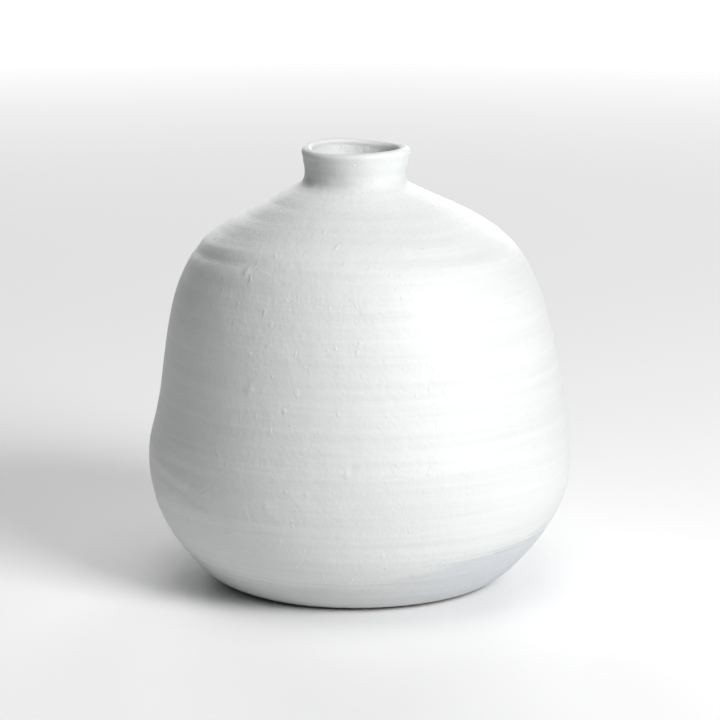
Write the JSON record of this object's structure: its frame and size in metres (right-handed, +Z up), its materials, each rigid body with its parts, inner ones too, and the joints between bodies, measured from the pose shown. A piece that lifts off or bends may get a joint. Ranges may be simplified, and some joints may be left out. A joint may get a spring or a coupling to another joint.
{
  "type": "bud vase",
  "caption": "Squat hand-thrown ceramic bud vase: low round belly, tapering wall, sloping shoulder, short narrow neck and flared lip, matt white glaze, bare clay foot.",
  "frame": {"origin": "centre of the bounding box's bottom face: on the belly's axis, in the plane that the foot ring stands on", "axes": "+Z up along the vase's axis, towards the mouth; -Y the front; +X to the right seen from the front. The axis leans 1.6 mm towards -X at the neck and 1.2 mm towards -X at the foot."},
  "size_m": [0.16, 0.16, 0.165],
  "materials": {
    "fired_clay": "bare fired stoneware, matt",
    "joining_slip": "fired joining slip, matt",
    "matt_white_glaze": "matt white glaze with soft throwing rings",
    "thin_foot_glaze": "thin brushed bluish-grey glaze, matt",
    "liner_glaze": "satin white liner glaze"
  },
  "bodies": {
    "root": {"bowl_section": "fired_clay", "belly_slip_seam": "joining_slip", "dome_section": "fired_clay", "neck_slip_seam": "joining_slip", "neck_collar": "fired_clay", "outer_glaze": "matt_white_glaze", "foot_glaze_band": "thin_foot_glaze", "liner_glaze": "liner_glaze"}
  },
  "joints": []
}
